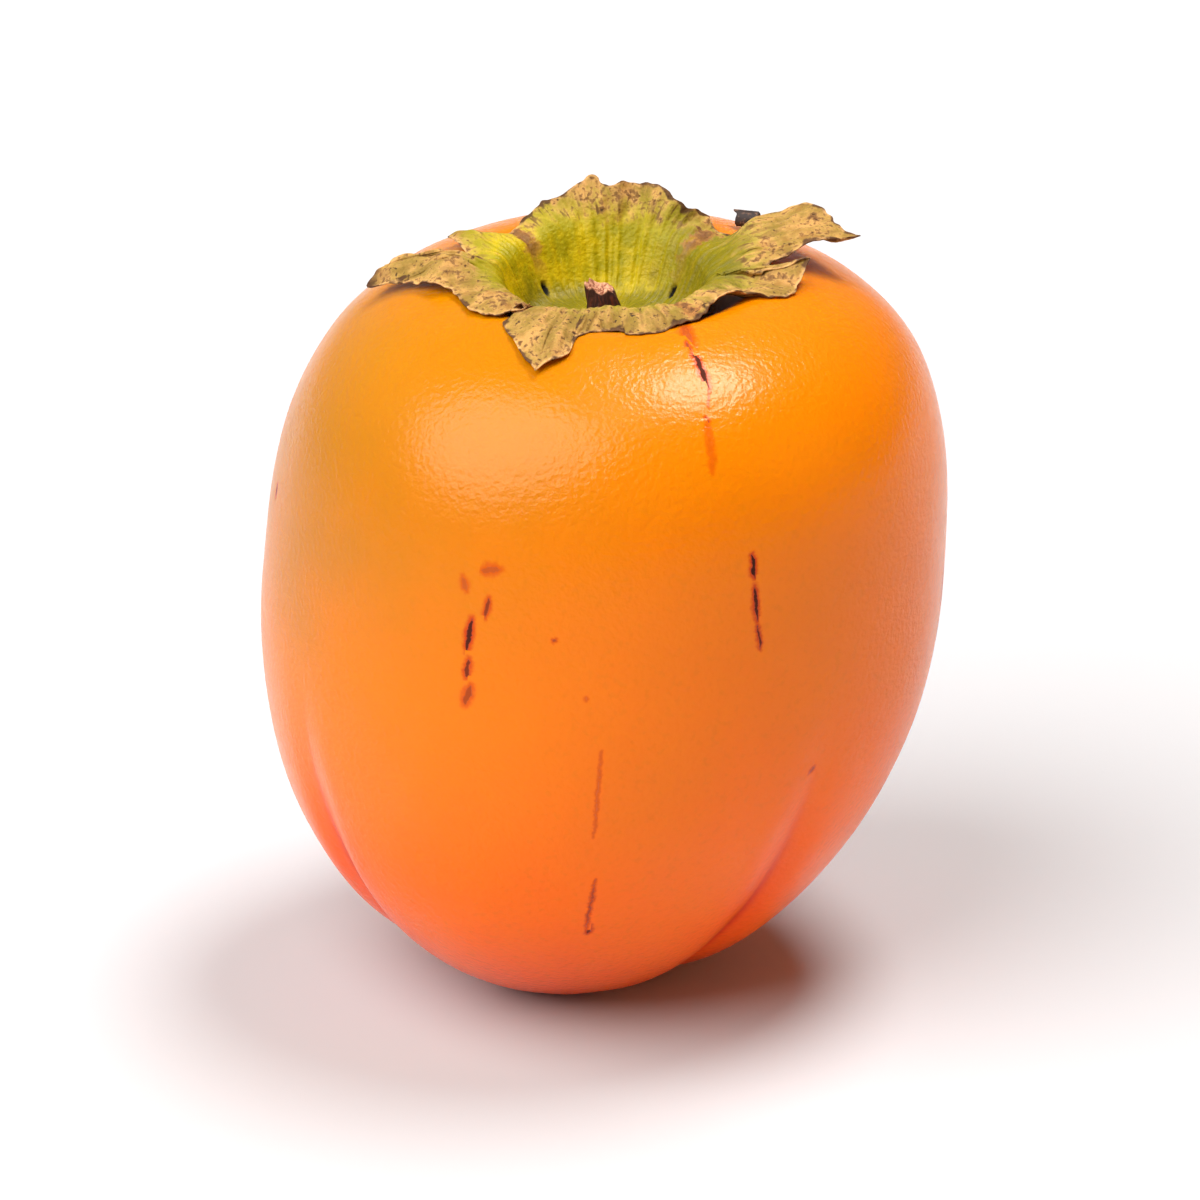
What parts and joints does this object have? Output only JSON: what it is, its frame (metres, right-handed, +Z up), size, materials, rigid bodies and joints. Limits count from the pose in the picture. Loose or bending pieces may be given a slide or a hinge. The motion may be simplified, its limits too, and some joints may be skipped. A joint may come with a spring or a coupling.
{
  "type": "persimmon",
  "caption": "Whole egg-shaped persimmon standing on its blossom end, with a dried lobed calyx around the stub of its stem.",
  "frame": {"origin": "on the small flat that the fruit rests on, straight under its centre of mass", "axes": "+Z up, from the blossom end to the calyx; -Y is the front, where the calyx's drooping lobe hangs; +X is the side of the calyx's longest lobe, towards which the fruit leans"},
  "size_m": [0.0753, 0.0746, 0.0879],
  "materials": {
    "skin": "satin",
    "calyx": "matte",
    "stem": "matte",
    "style_tip": "matte"
  },
  "bodies": {
    "root": {"fruit": "skin", "calyx": "calyx", "stem": "stem", "style_tip": "style_tip"}
  },
  "joints": []
}
